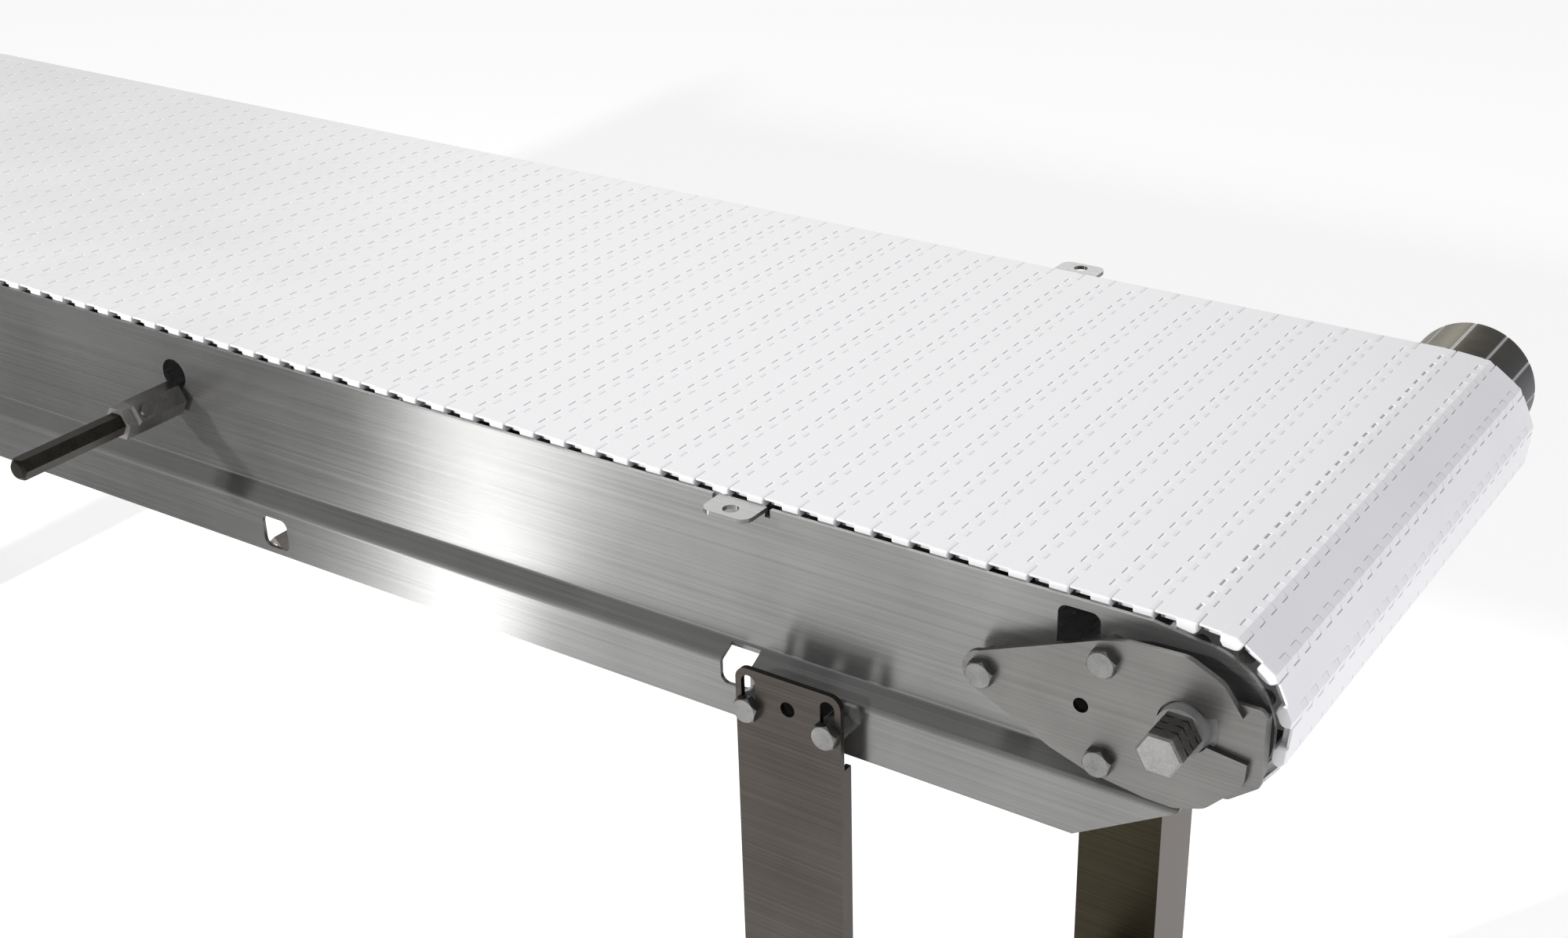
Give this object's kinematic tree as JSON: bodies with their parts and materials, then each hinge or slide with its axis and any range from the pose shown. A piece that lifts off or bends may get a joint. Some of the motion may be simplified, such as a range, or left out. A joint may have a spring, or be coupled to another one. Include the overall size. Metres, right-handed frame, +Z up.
{
  "type": "belt conveyor section",
  "caption": "Straight section of a modular plastic belt conveyor on a stainless frame with legs, levelling feet, a belt lifter and an end drive.",
  "frame": {"origin": "on the floor, under the middle of the belt", "axes": "+X along the conveyor towards the tail, +Y across it towards the drive's side, +Z up"},
  "size_m": [2.533, 0.775, 0.9],
  "materials": {
    "belt": "moulded acetal, satin white",
    "rod_plastic": "extruded plastic rod, off-white",
    "sheet_steel": "stainless sheet, brushed along the conveyor",
    "leg_steel": "stainless sheet, satin",
    "dark_steel": "darkened stainless, satin",
    "turned_steel": "stainless, turned or drawn",
    "fastener_steel": "stainless fasteners, plain",
    "frame_steel": "stainless bar, satin",
    "bearing_plastic": "machined polyethylene, white",
    "wear_plastic": "extruded polyethylene, white",
    "drive_paint": "smooth washdown paint, light grey",
    "box_plastic": "moulded box, dark grey",
    "pad_rubber": "moulded rubber, black"
  },
  "bodies": {
    "frame": {"belt_carrying_rows": "belt", "belt_tail_rows": "belt", "belt_return_rows": "belt", "belt_drive_rows": "belt", "belt_hinge_rods": "rod_plastic", "near_side_rail": "sheet_steel", "far_side_rail": "sheet_steel", "near_tail_plate": "sheet_steel", "near_drive_plate": "sheet_steel", "far_drive_plate": "sheet_steel", "bearing_carriers": "sheet_steel", "near_tail_leg": "leg_steel", "near_drive_leg": "leg_steel", "far_tail_leg": "leg_steel", "far_drive_leg": "leg_steel", "leg_foot_plates": "leg_steel", "leg_cross_braces": "leg_steel", "tail_shaft_cover": "dark_steel", "tapped_bosses": "turned_steel", "return_rods": "turned_steel", "frame_bolts": "fastener_steel", "tail_cover_screws": "fastener_steel", "gearbox_bolts": "fastener_steel", "foot_lock_nuts": "fastener_steel", "carryway_bars": "frame_steel", "cross_members": "frame_steel", "roller_hangers": "frame_steel", "bearing_rings": "bearing_plastic", "wear_strips": "wear_plastic", "gearbox_housing": "drive_paint", "motor_housing": "drive_paint", "motor_end_cover": "drive_paint", "motor_terminal_box": "box_plastic"},
    "tail_shaft": {"tail_shaft": "turned_steel", "tail_sprockets": "bearing_plastic", "tail_shaft_bushes": "bearing_plastic", "tail_shaft_collars": "turned_steel"},
    "drive_shaft": {"drive_shaft": "turned_steel", "drive_sprockets": "bearing_plastic", "drive_shaft_bushes": "bearing_plastic", "drive_shaft_collars": "turned_steel", "gearbox_output_sleeve": "turned_steel"},
    "lifter": {"lifter_shaft": "turned_steel", "lifter_paddles": "frame_steel", "lifter_end_collar": "turned_steel", "lifter_sleeve": "turned_steel", "lifter_set_screw": "fastener_steel", "lifter_handle": "dark_steel"},
    "return_roller_1": {"return_roller_1": "bearing_plastic"},
    "foot_1": {"foot_stem_1": "fastener_steel", "foot_pad_1": "pad_rubber"},
    "return_roller_2": {"return_roller_2": "bearing_plastic"},
    "foot_2": {"foot_stem_2": "fastener_steel", "foot_pad_2": "pad_rubber"},
    "return_roller_3": {"return_roller_3": "bearing_plastic"},
    "foot_3": {"foot_stem_3": "fastener_steel", "foot_pad_3": "pad_rubber"},
    "return_roller_4": {"return_roller_4": "bearing_plastic"},
    "foot_4": {"foot_stem_4": "fastener_steel", "foot_pad_4": "pad_rubber"}
  },
  "joints": [
    {"name": "drive_shaft_spin", "type": "hinge", "parent": "frame", "child": "drive_shaft", "pos_m": [-1.2104, 0, 0.8439], "axis": [0, 1, 0], "continuous": true},
    {"name": "tail_shaft_spin", "type": "hinge", "parent": "frame", "child": "tail_shaft", "pos_m": [1.2104, 0, 0.8439], "axis": [0, 1, 0], "continuous": true},
    {"name": "lifter_swing", "type": "hinge", "parent": "frame", "child": "lifter", "pos_m": [0.356, 0, 0.846], "axis": [0, 1, 0], "range_deg": [0, 175]},
    {"name": "return_roller_spin_1", "type": "hinge", "parent": "frame", "child": "return_roller_1", "pos_m": [-0.918, 0, 0.7725], "axis": [0, 1, 0], "continuous": true},
    {"name": "return_roller_spin_2", "type": "hinge", "parent": "frame", "child": "return_roller_2", "pos_m": [-0.459, 0, 0.7725], "axis": [0, 1, 0], "continuous": true},
    {"name": "return_roller_spin_3", "type": "hinge", "parent": "frame", "child": "return_roller_3", "pos_m": [0.459, 0, 0.7725], "axis": [0, 1, 0], "continuous": true},
    {"name": "return_roller_spin_4", "type": "hinge", "parent": "frame", "child": "return_roller_4", "pos_m": [0.918, 0, 0.7725], "axis": [0, 1, 0], "continuous": true},
    {"name": "foot_height_1", "type": "slide", "parent": "frame", "child": "foot_1", "axis": [0, 0, 1], "range_m": [-0.02, 0.02]},
    {"name": "foot_height_2", "type": "slide", "parent": "frame", "child": "foot_2", "axis": [0, 0, 1], "range_m": [-0.02, 0.02]},
    {"name": "foot_height_3", "type": "slide", "parent": "frame", "child": "foot_3", "axis": [0, 0, 1], "range_m": [-0.02, 0.02]},
    {"name": "foot_height_4", "type": "slide", "parent": "frame", "child": "foot_4", "axis": [0, 0, 1], "range_m": [-0.02, 0.02]}
  ],
  "couplings": [
    {"joint": "tail_shaft_spin", "follows": "drive_shaft_spin", "ratio": 1},
    {"joint": "return_roller_spin_1", "follows": "drive_shaft_spin", "ratio": -3.5031},
    {"joint": "return_roller_spin_2", "follows": "drive_shaft_spin", "ratio": -3.5031},
    {"joint": "return_roller_spin_3", "follows": "drive_shaft_spin", "ratio": -3.5031},
    {"joint": "return_roller_spin_4", "follows": "drive_shaft_spin", "ratio": -3.5031}
  ]
}
